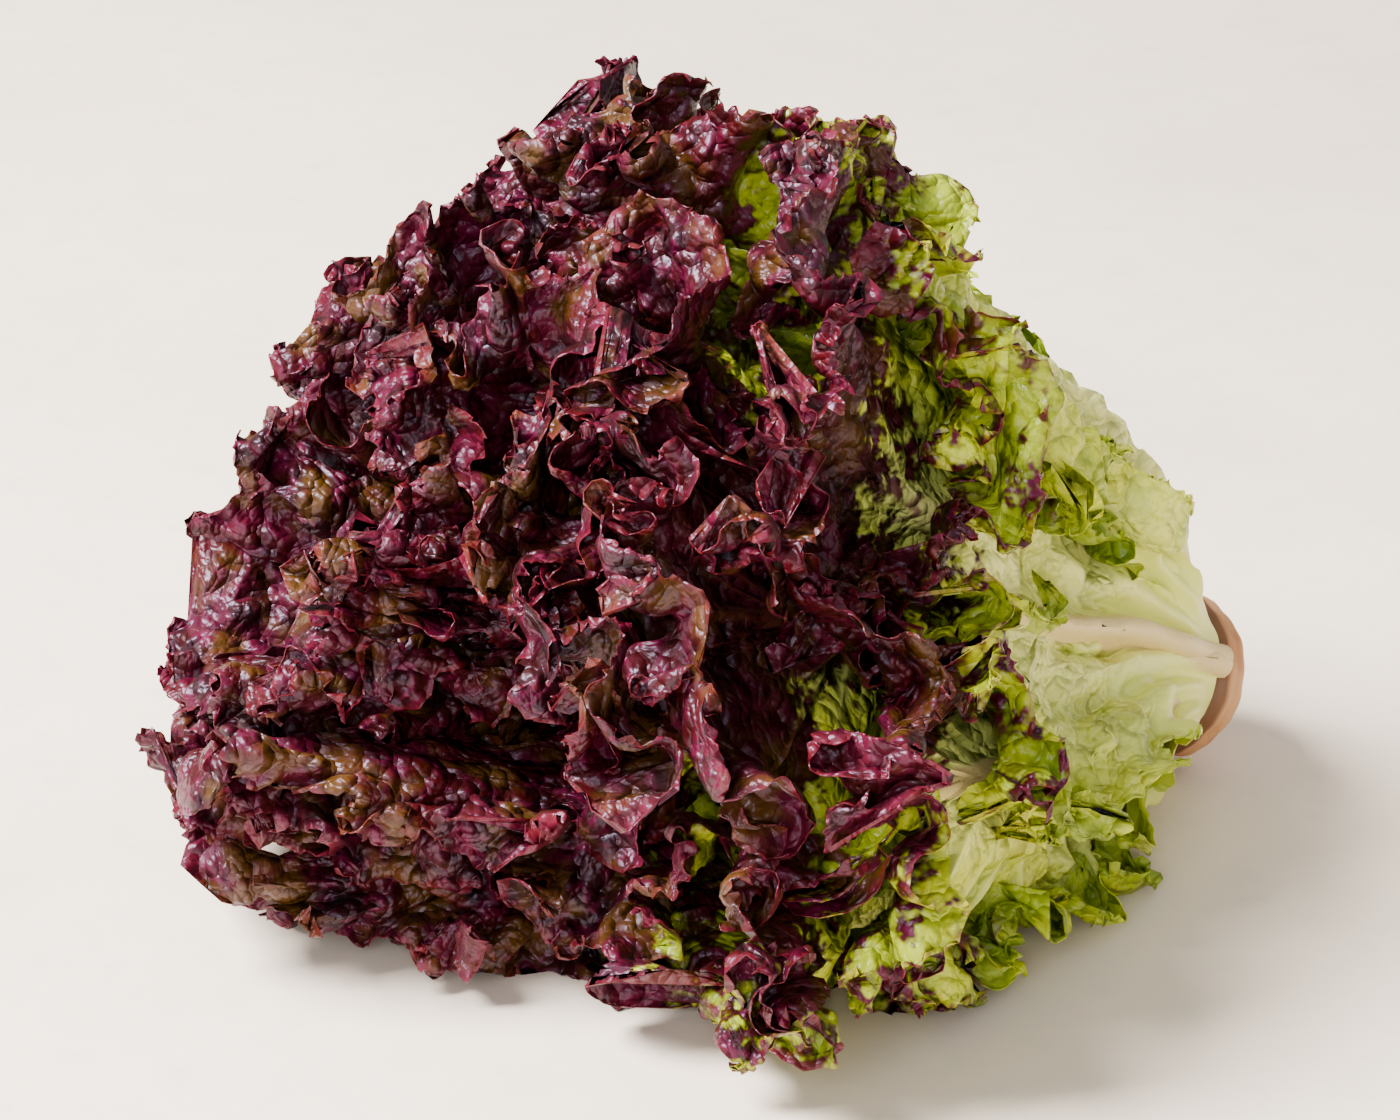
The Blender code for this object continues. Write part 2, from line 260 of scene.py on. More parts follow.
# The crown, a dome that is hollow at the heart
CROWN_RADIUS = 0.110
CROWN_RISE = 0.078
CROWN_CENTRE = 0.154
CROWN_SPREAD = math.radians(110)
HEART_HOLLOW = 0.50
HEART_HOLLOW_ANGLE = math.radians(29)
HEART_SHARE = 0.13

BASE_LEAN = math.radians(46)
TIP_LEAN_INNER = math.radians(-6)
TIP_LEAN_OUTER = math.radians(82)
TIP_LEAN_POWER = 0.7
BASE_REACH = 0.38
TIP_REACH = 0.20

# Where the head isn't round, as (turn, focus, gain of width, gain of height, gain of lean): the side
# that it lies on, the side where the last leaf stands up, the lower front and the lower back, then
# the top and the front, whose leaves bulge out from low down, and the tall back of the crown
HEAD_WIDTH = 1.08
UNEVEN_SIDES = (
    (math.radians(254), 2.8, -0.39, 0.23, -0.30),
    (math.radians(30), 5.0, -0.34, 0.10, -0.55),
    (math.radians(306), 6.0, -0.15, -0.24, 0.30),
    (math.radians(228), 7.0, 0.21, -0.05, 0.20),
    (math.radians(86), 3.5, 0.02, 0.00, 0.40),
    (math.radians(338), 9.0, 0.14, 0.00, 0.16),
    (math.radians(146), 4.0, 0.04, 0.08, 0.00),
    (math.radians(268), 10.0, 0.00, 0.06, 0.00),
)

# A leaf's flat outline, as shares of its length
BLADE_HALF_WIDTH = 0.50
BLADE_BASE_SHARE = 0.24
BLADE_WIDENING = 1.25
BLADE_TIP_ROUNDING = 6
INNER_BLADE_WIDTH = 0.66
TIP_VARIATION = (0.88, 1.10)
VEIN_TOP = 0.62
VEIN_SPREAD = 0.80
EDGE_STEP = 0.01

# How far round the head a blade reaches to each side
WRAP_LIMIT = math.radians(61)
WRAP_RADIUS = 0.008

# Thickness that a blade is given, and its margin
BLADE_THICKNESS = 0.0005
EDGE_THICKNESS = 0.0002

# The ruffles of a leaf's own, which grow towards its margin
RUFFLES_OUTER = 10
RUFFLES_INNER = 6
RUFFLE_SHELL_SHARE = 0.034
RUFFLE_SIDE_SHARE = 0.60
RUFFLE_START = 0.30
RUFFLE_LEAN = 0.13
RUFFLE_BASE_FADE = 0.25
RUFFLE_LEAN_FADE = 0.70
RUFFLE_SIDE_FADE = 1.6
RUFFLE_WANDER = ((0.72, 2.3), (0.48, 5.1))
RUFFLE_SWELL = 0.25
RUFFLE_SWELLS = 3.1

# The folds that neighbouring leaves share, as (folds round the head, depth as a share of the
# shells, first and last shell, drift of the folds from shell to shell)
SHARED_FOLDS = (
    (15, 0.058, 0.39, 1.16, 5.6),
    (8, 0.052, 0.09, 0.61, 5.4),
    (3, 0.030, 0.05, 1.20, 4.3),
)
FOLD_START = 0.50
FOLD_LEAN = 0.24

# How the shared folds meander, as (size, waves round the head, shift from one set of folds to the
# next, shift up the shell)
FOLD_WANDER = (
    (0.055, 3, 1.3, 0.0),
    (0.035, 5, 3.1, 0.0),
    (0.060, 2, 1.0, 6.0),
    (0.020, 4, 2.0, -10.0),
)

# How the head sags and settles on the surface: not at all on the stem, and in full on the crown
SAG_SPREAD = 0.04
SAG_MIDDLE_HEIGHT = 0.085
SAG_CENTRE = 0.130
FLOOR_SOFTNESS = 0.0060
FLOOR_DROP = 0.0055
SETTLE_START = 0.042
SETTLE_FULL = 0.082


def crown_point(shell):
    """Radius and height of the point on the crown where a shell ends."""
    angle = CROWN_SPREAD * shell
    hollow = 1 - HEART_HOLLOW * np.exp(-((angle / HEART_HOLLOW_ANGLE) ** 2))
    return CROWN_RADIUS * hollow * np.sin(angle), CROWN_CENTRE + CROWN_RISE * hollow * np.cos(angle)


def shell_profile(shell, turn, rise):
    """Radius and height at a share of the way up a shell, a cubic from the stem to the crown."""
    r0, w0 = base_point(shell)
    r3, w3 = crown_point(shell)
    span = np.hypot(r3 - r0, w3 - w0)
    width, height, lean = HEAD_WIDTH, 1.0, 1.0
    for side_turn, focus, wider, higher, further in UNEVEN_SIDES:
        nearness = np.exp(focus * (np.cos(turn - side_turn) - 1))
        width = width + wider * nearness
        height = height + higher * nearness
        lean = lean + further * nearness
    base_lean = BASE_LEAN * shell * lean
    tip_lean = mix(TIP_LEAN_INNER, TIP_LEAN_OUTER, shell**TIP_LEAN_POWER)
    r1 = r0 + BASE_REACH * span * np.sin(base_lean)
    w1 = w0 + BASE_REACH * span * np.cos(base_lean)
    r2 = r3 - TIP_REACH * span * np.sin(tip_lean)
    w2 = w3 - TIP_REACH * span * np.cos(tip_lean)
    inside = np.minimum(rise, 1.0)
    beyond = rise - inside
    rest = 1 - inside
    b0, b1, b2, b3 = rest**3, 3 * rest * rest * inside, 3 * rest * inside**2, inside**3
    r = b0 * r0 + b1 * r1 + b2 * r2 + b3 * r3 + 3 * beyond * (r3 - r2)
    w = b0 * w0 + b1 * w1 + b2 * w2 + b3 * w3 + 3 * beyond * (w3 - w2)
    return r0 + (r - r0) * width, w0 + (w - w0) * height


def folded(shell, turn, rise):
    """Moves points across the shells in folds that all leaves share, so that they nest."""
    moved = shell
    grown = smooth_step((rise - FOLD_START) / (1 - FOLD_START))
    for number, (folds, depth, first, last, drift) in enumerate(SHARED_FOLDS):
        middle, half = (first + last) / 2, (last - first) / 2
        window = grown * (1 - smooth_step((np.abs(shell - middle) / half - 0.5) / 0.5))
        wander = sum(
            size * np.sin(waves * turn + shift * number + climb * rise)
            for size, waves, shift, climb in FOLD_WANDER
        )
        phase = folds * (turn + wander) + drift * shell
        moved = moved + depth * window * np.cos(phase)
        turn = turn + FOLD_LEAN / folds * window * np.sin(2 * phase)
    return np.maximum(moved, 0.001), turn


def blade_half_width(rise):
    """Half-width of the flat blade at a share of its length, as a share of its widest."""
    widening = BLADE_BASE_SHARE + (1 - BLADE_BASE_SHARE) * rise**BLADE_WIDENING
    return widening * np.sqrt(np.maximum(1 - rise**BLADE_TIP_ROUNDING, 0.0))


def margin_table(samples=400):
    """The blade's edge from tip to base: its share of the way, its half-width, height and length."""
    rise = np.sin(np.linspace(math.pi / 2, 0, samples))
    across = BLADE_HALF_WIDTH * blade_half_width(rise)
    way = np.concatenate([[0], np.cumsum(np.hypot(np.diff(across), np.diff(rise)))])
    return way / way[-1], across, rise, way[-1]


MARGIN_WAY, MARGIN_ACROSS, MARGIN_RISE, MARGIN_LENGTH = margin_table()


class Leaf:
    """One leaf of the spiral. Number 0 is the heart's innermost leaf.

    A point on it is u, the way along its margin from the tip (0) to a base corner (-1 or 1), and v,
    the share of the way from the midrib to the margin, along a side vein.
    """

    def __init__(self, number):
        self.name = f"leaf_{number + 1:02d}"
        self.shell = (number + 0.5) / LEAF_COUNT
        self.turn = LAST_LEAF_TURN + (LEAF_COUNT - 1 - number) * GOLDEN_ANGLE
        r, w = shell_profile(self.shell, self.turn, np.linspace(0, 1, 60))
        rng = np.random.default_rng(SEED * 100 + number)
        self.length = float(np.hypot(np.diff(r), np.diff(w)).sum())
        self.reach = rng.uniform(*TIP_VARIATION)
        self.width = self.length * mix(INNER_BLADE_WIDTH, 1.0, self.shell)
        self.ruffles = mix(RUFFLES_INNER, RUFFLES_OUTER, self.shell)
        self.phases = rng.uniform(0, 2 * math.pi, 4)

    def flat_point(self, u, v):
        """Shares across and along the flat blade, and the margin's direction at u."""
        way = np.abs(u)
        ends = np.stack([np.maximum(way - EDGE_STEP, 0.0), np.minimum(way + EDGE_STEP, 1.0)])
        edge_across = np.diff(np.interp(ends, MARGIN_WAY, MARGIN_ACROSS), axis=0)[0]
        edge_rise = np.diff(np.interp(ends, MARGIN_WAY, MARGIN_RISE), axis=0)[0]
        edge = np.hypot(edge_across, edge_rise)
        foot = VEIN_TOP * (1 - way) ** VEIN_SPREAD
        rise = mix(foot, np.interp(way, MARGIN_WAY, MARGIN_RISE) * self.reach, v)
        across = np.sign(u) * np.interp(way, MARGIN_WAY, MARGIN_ACROSS) * v
        return across, rise, edge_across / edge, np.sign(u) * edge_rise / edge

    def ruffle(self, u, v):
        """Depth of the leaf's own ruffles as a share of the shells, and their lean along the margin."""
        wander = sum(
            size * np.sin(waves * math.pi * u + start)
            for (size, waves), start in zip(RUFFLE_WANDER, self.phases)
        )
        phase = math.pi * self.ruffles * u + wander + self.phases[2]
        before_base = 1 - np.abs(u)
        growth = smooth_step((v - RUFFLE_START) / (1 - RUFFLE_START))
        growth = growth * smooth_step(before_base / RUFFLE_BASE_FADE)
        swell = 1 + RUFFLE_SWELL * np.sin(RUFFLE_SWELLS * math.pi * u + self.phases[3])
        swell = swell * mix(1.0, RUFFLE_SIDE_SHARE, smooth_step(np.abs(u) * RUFFLE_SIDE_FADE))
        depth = RUFFLE_SHELL_SHARE * smooth_step(self.shell / HEART_SHARE) * swell * growth
        wave = 2 * MARGIN_LENGTH / self.ruffles
        lean = RUFFLE_LEAN * wave * growth * smooth_step(before_base / RUFFLE_LEAN_FADE)
        return -depth * np.cos(phase), lean * np.sin(2 * phase)

    def surface(self, u, v):
        """Points of the blade's middle surface, in the head's own frame."""
        across, rise, edge_across, edge_rise = self.flat_point(u, v)
        depth, lean = self.ruffle(u, v)
        across = across + lean * edge_across * np.sign(u + 1e-9)
        rise = np.maximum(rise + lean * edge_rise, 0.0)
        shell = np.maximum(self.shell + depth, 0.001)
        r, w = shell_profile(shell, self.turn, rise)
        reach = self.width / (r + WRAP_RADIUS)
        widest = BLADE_HALF_WIDTH * blade_half_width(np.minimum(rise / self.reach, 1.0)) * reach
        drawn_in = (1 + (widest / WRAP_LIMIT) ** 4) ** -0.25
        turn = self.turn + across * reach * drawn_in
        shell, turn = folded(shell, turn, rise)
        r, w = shell_profile(shell, turn, rise)
        return np.stack([r * np.cos(turn), r * np.sin(turn), w], axis=-1)


def settled(x, y, w, half_thickness):
    """From the head's own frame to the world, as the leaves lie.

    The lower side spreads under the head's weight, and what would reach below the surface is
    pressed flat on it, in the same order as above it.
    """
    world_x, world_y, z = tilted(x, y, w)
    share = smooth_step((w - SETTLE_START) / (SETTLE_FULL - SETTLE_START))
    spread = share * SAG_SPREAD * (1 - z / SAG_MIDDLE_HEIGHT)
    world_x = world_x + spread * (world_x - CUT_END_X + SAG_CENTRE * math.cos(HEAD_TILT))
    world_y = world_y + spread * (world_y - CUT_END_Y)
    pressed = 0.5 * (z + np.sqrt(z * z + 4 * FLOOR_SOFTNESS**2)) - FLOOR_DROP
    z = np.maximum(mix(z, pressed, share), half_thickness)
    return world_x, world_y, z


# The frills and the relief of a blade
# Each margin is far longer than its blade, so it flares outwards and waves in scallops of about 23 mm,
# which carry crimps of 7 mm and teeth of 3 mm. The rib and the side veins stand out of the underside.

ROLL_DEPTH = 0.032
ROLL_RADIUS = 0.034
FRILL_LENGTH = 0.0235
FRILL_HEIGHT = 0.0060
FRILL_DEPTH = 0.030
FRILL_LEAN = 0.05
FRILL_STRENGTH = 0.75
BASE_FADE = 0.30
CRIMP_LENGTH = 0.0072
CRIMP_HEIGHT = 0.0010
CRIMP_DEPTH = 0.0090
NOTCH_CUT = 0.0055
NOTCH_DEPTH = 0.018
TOOTH_LENGTH = 0.0029
TOOTH_CUT = 0.0019
TOOTH_DEPTH = 0.0012
VEIN_DISTANCE = 0.024
VEIN_HEIGHT = 0.0007
VEIN_HALF_WIDTH = 0.0016
RIB_HEIGHT = 0.0040
RIB_HALF_WIDTH = 0.0046
RIB_TIP_HALF_WIDTH = 0.0020
RIB_TIP_SHARE = 0.18
INNER_RIB_SHARE = 0.4
TROUGH_DEPTH = 0.0022
LAST_LEAF_TROUGH = 0.0065
LAST_LEAF_SHELL = 0.97
TROUGH_DISTANCE = 0.017
TROUGH_SPREAD = 0.6
PLEATS = 7
PLEAT_HEIGHT = 0.0026
COLUMN_STEP = 0.0017
INNER_COLUMN_STEP = 0.0022
MARGIN_SAMPLES = 1601
NEAR_MARGIN = 0.98
WITHIN_MARGIN = 0.82
BETWEEN_THEM = 0.16
WAVE_DRIFT = 0.8
WAVE_DRIFT_LENGTH = 0.6
U_STEP = 0.002
V_STEP = 0.01
MIDRIB_ROWS = (0.0, 0.010, 0.022, 0.040, 0.065, 0.10, 0.15, 0.21, 0.28)
LAST_ROWS = (0.982, 1.0)

# How closely a leaf has to face the front to count, and then for a leaf at the back and for one in
# front: how far up its base is pale, how far up its rib shows, and where its blisters start
FRONT_FOCUS = 2.5
PALE_BASE = (0.26, 0.46)
RIB_SHOWS = (0.38, 0.62)
RIB_FADE = 0.25
BLISTERS_START = (0.02, 0.10)
BLISTERS_GROW = 0.30
CALM_ON_VEINS = 0.85

# The rows of points outside the midrib, as (first and last share of the way out, rows, how much finer
# their columns are)
ROW_BANDS = ((0.36, 0.68, 9, 0.5), (0.68, 0.90, 9, 1), (0.90, 0.982, 5, 2))

# How the frills wander along the margin and vary in height, as (size, length, which random start)
FRILL_WANDER = ((1.5, 0.034, 0), (1.0, 0.015, 2))
FRILL_SWELLS = ((0.30, 0.028, 12), (0.20, 0.0130, 1))


def measured_margin(leaf):
    """Along a blade's margin: u, the true length from the tip, and the true metres per v."""
    u = np.linspace(-1, 1, MARGIN_SAMPLES)
    edge = leaf.surface(u, np.full(MARGIN_SAMPLES, NEAR_MARGIN))
    inside = leaf.surface(u, np.full(MARGIN_SAMPLES, WITHIN_MARGIN))
    length = np.concatenate([[0], np.cumsum(np.linalg.norm(np.diff(edge, axis=0), axis=1))])
    metres_per_v = np.linalg.norm(edge - inside, axis=1) / BETWEEN_THEM
    return u, length - length[MARGIN_SAMPLES // 2], metres_per_v


class Frills:
    """The finer shape of one leaf: where a point lies in metres, and how far it is moved."""

    def __init__(self, leaf, u, v):
        across, rise, _, _ = leaf.flat_point(u, v)
        samples, lengths, reaches = leaf.margin
        self.leaf, self.u, self.v = leaf, u, v
        self.starts = np.random.default_rng(SEED * 500 + int(leaf.name[-2:])).uniform(0, 2 * math.pi, 16)
        self.reach = np.interp(u, samples, reaches)
        self.to_edge = (1 - v) * self.reach
        self.across = across * leaf.width
        self.rise = rise
        self.base_fade = smooth_step((1 - np.abs(u)) / BASE_FADE)
        self.along = np.interp(u, samples, lengths)

    def near_edge(self, depth):
        """1 at the margin, 0 at that depth from it and at the blade's base."""
        return smooth_step(1 - self.to_edge / depth) * self.base_fade

    def wave(self, length, start):
        """A sine along the margin whose phase drifts a little with the distance from it."""
        drift = WAVE_DRIFT * np.sin(self.to_edge / (WAVE_DRIFT_LENGTH * length) + self.starts[start])
        return np.sin(self.along / length + drift + self.starts[start + 1])

    def waves(self, parts, level):
        return sum((size * self.wave(length, start) for size, length, start in parts), level)

    def frill_phase(self):
        return 2 * math.pi * self.along / FRILL_LENGTH + self.waves(FRILL_WANDER, 0.0)

    def vein(self):
        """How near a point is to one of the side veins: 1 on it, 0 between them."""
        spacing = self.along / VEIN_DISTANCE + 0.25 * np.sin(self.along / 0.041 + self.starts[4])
        branch = 0.10 * np.sin(self.to_edge / 0.021 + 3 * np.floor(spacing))
        off = np.abs((spacing + branch) % 1.0 - 0.5) * VEIN_DISTANCE * np.maximum(self.v, 0.05)
        width = VEIN_HALF_WIDTH * smooth_step(self.v / 0.35) + 1e-5
        return smooth_step(1 - off / width) * (1 - smooth_step((self.v - 0.45) / 0.45))

    def rib(self):
        """Thickness that the midrib adds, in metres."""
        growth = smooth_step(self.rise / 1.1)
        half_width = mix(RIB_HALF_WIDTH, RIB_TIP_HALF_WIDTH, growth) * mix(0.5, 1.0, self.leaf.shell)
        roundness = np.sqrt(np.maximum(1 - (self.across / half_width) ** 2, 0.0))
        height = RIB_HEIGHT * mix(1.0, RIB_TIP_SHARE, growth)
        return height * mix(INNER_RIB_SHARE, 1.0, self.leaf.shell) * roundness

    def trough(self):
        """How far the blade sinks in beside its rib."""
        side = np.exp(-(((np.abs(self.across) - TROUGH_DISTANCE) / (TROUGH_SPREAD * TROUGH_DISTANCE)) ** 2))
        low = smooth_step((self.rise - 0.06) / 0.14) * (1 - smooth_step((self.rise - 0.42) / 0.22))
        deepest = LAST_LEAF_TROUGH if self.leaf.shell > LAST_LEAF_SHELL else TROUGH_DEPTH
        return side * low * np.where(self.u > 0, deepest, TROUGH_DEPTH)

    def paleness(self):
        """How pale the green is: most at the blade's base, and on along its midrib."""
        front = self.in_front()
        base = 1 - smooth_step((self.rise - 0.10 * front) / mix(*PALE_BASE, front))
        half_width = mix(0.012, 0.034, front * smooth_step((self.leaf.shell - 0.92) / 0.05))
        midrib = np.exp(-((self.across / half_width) ** 2)) * self.fresh()
        return np.maximum(base, midrib)

    def fresh(self):
        """1 low on the blade, 0 in its crown; a leaf that faces the front shows its rib further up."""
        return 1 - smooth_step((self.rise - mix(*RIB_SHOWS, self.in_front())) / RIB_FADE)

    def in_front(self):
        """1 for a leaf that faces the front, 0 for one at the back, which is green from lower down."""
        return np.exp(FRONT_FOCUS * (math.cos(self.leaf.turn) - 1))

    def crinkled(self):
        """Where the blade is blistered: not at its smooth base, and little on its veins low down."""
        start = mix(*BLISTERS_START, self.in_front())
        on_vein = self.vein_share() * self.fresh() * self.in_front()
        return smooth_step((self.rise - start) / BLISTERS_GROW) * (1 - CALM_ON_VEINS * on_vein)

    def vein_share(self):
        """1 on a side vein or on the midrib, 0 between them."""
        return np.maximum(self.vein(), smooth_step(self.rib() / 0.0012))

    def pleats(self):
        """Low folds that fan out of the blade's base and die away up the blade."""
        fan = self.across / (self.leaf.width * (0.10 + 0.55 * np.clip(self.rise, 0.0, 1.0)))
        low = smooth_step((self.rise - 0.03) / 0.12) * (1 - smooth_step((self.rise - 0.30) / 0.35))
        sway = 0.8 * np.sin(9 * self.rise + self.starts[6])
        return PLEAT_HEIGHT * low * np.sin(math.pi * PLEATS * fan + sway)

    def cut_v(self):
        """The share of the way out once the notches and the teeth are cut into the margin."""
        scallop = 0.5 - 0.5 * np.cos(self.frill_phase() + 0.6)
        notch = NOTCH_CUT * scallop**3 * (0.6 + 0.4 * self.wave(0.022, 6))
        tooth = self.along / TOOTH_LENGTH + 0.25 * self.wave(0.0035, 8)
        teeth = TOOTH_CUT * np.abs(np.cos(math.pi * tooth)) * (0.75 + 0.25 * self.wave(0.0050, 10))
        cut = notch * self.near_edge(NOTCH_DEPTH) + teeth * self.near_edge(TOOTH_DEPTH)
        return self.v - cut / self.reach

    def roll(self, v, reach):
        """The angle that the margin's outward roll has turned by, and how far it draws a point in."""
        strength = 0.72 + 0.28 * self.wave(0.026, 3)
        strength = strength * mix(0.45, 1.0, smooth_step(self.leaf.shell / 0.5))
        past = np.maximum(ROLL_DEPTH * strength - (1 - v) * reach, 0.0) * self.base_fade
        angle = past / ROLL_RADIUS
        return angle, past - ROLL_RADIUS * np.sin(angle)

    def points(self):
        """The middle surface with its frills, in the head's own frame."""
        leaf = self.leaf
        phase = self.frill_phase()
        samples, lengths, _ = leaf.margin
        lean = FRILL_LEAN * FRILL_LENGTH * self.near_edge(FRILL_DEPTH) * np.sin(2 * phase)
        u = np.interp(self.along + lean, lengths, samples)
        v = self.cut_v()
        step = np.where(u > 0.5, -U_STEP, U_STEP)
        outward = (leaf.surface(u, v + V_STEP) - leaf.surface(u, v - V_STEP)) / (2 * V_STEP)
        reach = np.linalg.norm(outward, axis=1)
        angle, back = self.roll(v, reach)
        v = v - back / reach
        middle = leaf.surface(u, v)
        along = (leaf.surface(u + step, v) - middle) / step[:, None]
        outward = leaf.surface(u, v + V_STEP) - leaf.surface(u, v - V_STEP)
        outward = outward / np.maximum(np.linalg.norm(outward, axis=1, keepdims=True), 1e-12)
        normal = np.cross(along, outward)
        normal = normal / np.maximum(np.linalg.norm(normal, axis=1, keepdims=True), 1e-12)
        middle = middle + normal * (ROLL_RADIUS * (1 - np.cos(angle)))[:, None]
        normal = normal * np.cos(angle)[:, None] - outward * np.sin(angle)[:, None]
        strength = self.waves(FRILL_SWELLS, FRILL_STRENGTH)
        crimp_phase = 2 * math.pi * self.along / CRIMP_LENGTH + 1.6 * self.wave(0.0078, 14)
        height = FRILL_HEIGHT * strength * self.near_edge(FRILL_DEPTH) * np.cos(phase)
        height = height + CRIMP_HEIGHT * self.near_edge(CRIMP_DEPTH) * np.cos(crimp_phase)
        height = height + VEIN_HEIGHT * self.vein() + self.rib() / 2 - self.trough() + self.pleats()
        return middle + normal * height[:, None]


def leaf_grid(leaf):
    """Places (u, v) and faces of a blade, whose columns double from band to band outwards."""
    samples, lengths, _ = leaf.margin
    length = (lengths - lengths[::-1]) / 2
    step = mix(INNER_COLUMN_STEP, COLUMN_STEP, smooth_step(leaf.shell / 0.5))
    columns = 8 * round(2 * length[-1] / step / 8)
    rows = [(share, columns // 4) for share in MIDRIB_ROWS]
    for first, last, steps, finer in ROW_BANDS:
        rows += [(mix(first, last, k / steps), round(columns * finer)) for k in range(steps)]
    rows += [(share, 4 * columns) for share in LAST_ROWS]
    end = length[-1]
    u = [np.interp(np.linspace(-end, end, count + 1), length, samples) for _, count in rows]
    v = [np.full(count + 1, share) for share, count in rows]
    starts = np.cumsum([0] + [count + 1 for _, count in rows])
    half = rows[0][1]
    faces = []
    for level in range(len(rows) - 1):
        count, next_count = rows[level][1], rows[level + 1][1]
        finer = next_count // count
        for k in range(count):
            ends = (min(k, half - k), min(k + 1, half - k - 1)) if level == 0 else (k, k + 1)
            outer_edge = [starts[level + 1] + finer * k + step for step in range(finer, -1, -1)]
            faces.append([starts[level] + ends[0], starts[level] + ends[1], *outer_edge])
    return np.concatenate(u), np.concatenate(v), faces


def relief_tree():
    """Geometry Nodes that raise a blade in blisters and rumples and give it its finish."""
    tree = bpy.data.node_groups.new("leaf_relief", "GeometryNodeTree")
    sockets = tree.interface
    sockets.new_socket("Geometry", in_out="OUTPUT", socket_type="NodeSocketGeometry")
    sockets.new_socket("Geometry", in_out="INPUT", socket_type="NodeSocketGeometry")
    for name in ("Blister size", "Blister height", "Rumple size", "Rumple height", "Seed"):
        sockets.new_socket(name, in_out="INPUT", socket_type="NodeSocketFloat")
    sockets.new_socket("Finish", in_out="INPUT", socket_type="NodeSocketMaterial")
    nodes, links = tree.nodes, tree.links
    start, end = nodes.new("NodeGroupInput"), nodes.new("NodeGroupOutput")

    def attribute(name, kind):
        node = nodes.new("GeometryNodeInputNamedAttribute")
        node.data_type = kind
        node.inputs["Name"].default_value = name
        return node.outputs["Attribute"]

    def calculate(operation, first, second=0.0):
        node = nodes.new("ShaderNodeMath")
        node.operation = operation
        for socket, value in zip(node.inputs, (first, second)):
            if isinstance(value, bpy.types.NodeSocket):
                links.new(value, socket)
            else:
                socket.default_value = value
        return node.outputs[0]

    position = nodes.new("GeometryNodeInputPosition")
    warp = nodes.new("ShaderNodeTexNoise")
    warp.inputs["Scale"].default_value = 140.0
    links.new(position.outputs[0], warp.inputs["Vector"])
    place = nodes.new("ShaderNodeVectorMath")
    place.operation = "MULTIPLY_ADD"
    place.inputs[1].default_value = (0.005, 0.005, 0.005)
    links.new(warp.outputs["Color"], place.inputs[0])
    links.new(position.outputs[0], place.inputs[2])
    cells = nodes.new("ShaderNodeTexVoronoi")
    cells.voronoi_dimensions = "4D"
    cells.feature = "SMOOTH_F1"
    cells.inputs["Smoothness"].default_value = 0.2
    links.new(place.outputs[0], cells.inputs["Vector"])
    links.new(start.outputs["Seed"], cells.inputs["W"])
    links.new(calculate("DIVIDE", 1.0, start.outputs["Blister size"]), cells.inputs["Scale"])
    squared = calculate("MULTIPLY", cells.outputs["Distance"], cells.outputs["Distance"])
    far = calculate("MINIMUM", squared, 0.8)
    lift = calculate("MULTIPLY", calculate("SUBTRACT", 0.4, far), start.outputs["Blister height"])
    lift = calculate("MULTIPLY", lift, attribute("blister_mask", "FLOAT"))
    folds = nodes.new("ShaderNodeTexNoise")
    folds.inputs["Detail"].default_value = 1.0
    links.new(position.outputs[0], folds.inputs["Vector"])
    links.new(calculate("DIVIDE", 1.0, start.outputs["Rumple size"]), folds.inputs["Scale"])
    centred = calculate("SUBTRACT", folds.outputs["Fac"], 0.5)
    rumple = calculate("MULTIPLY", centred, start.outputs["Rumple height"])
    rumple = calculate("MULTIPLY", rumple, attribute("blister_mask", "FLOAT"))
    normal = nodes.new("GeometryNodeInputNormal")
    offset = nodes.new("ShaderNodeVectorMath")
    offset.operation = "SCALE"
    links.new(normal.outputs[0], offset.inputs[0])
    links.new(calculate("MULTIPLY", calculate("ADD", lift, rumple), -1.0), offset.inputs["Scale"])
    move = nodes.new("GeometryNodeSetPosition")
    links.new(start.outputs["Geometry"], move.inputs["Geometry"])
    links.new(offset.outputs[0], move.inputs["Offset"])
    store = nodes.new("GeometryNodeStoreNamedAttribute")
    store.data_type = "FLOAT"
    store.inputs["Name"].default_value = "lift"
    links.new(move.outputs[0], store.inputs["Geometry"])
    links.new(calculate("DIVIDE", lift, 0.001), store.inputs["Value"])
    real = nodes.new("GeometryNodeRealizeInstances")
    finish = nodes.new("GeometryNodeSetMaterial")
    links.new(store.outputs[0], real.inputs[0])
    links.new(real.outputs[0], finish.inputs["Geometry"])
    links.new(start.outputs["Finish"], finish.inputs["Material"])
    links.new(finish.outputs[0], end.inputs[0])
    return tree


# The patches, flecks and grain of a blade's finish, as (scale, detail), and the smaller blisters,
# which only its bump shows, as (scale, depth)
MOTTLES = ((48.0, 3.0), (240.0, 2.0), (900.0, 1.0))
FINE_BLISTERS = ((125.0, 2.5), (270.0, 1.2))

# How strongly flecks and patches break up the border of the red, and the redness over which it turns
FLECK_MOTTLE = 2.2
PATCH_MOTTLE = 2.8
RED_BORDER = (0.20, 0.62)


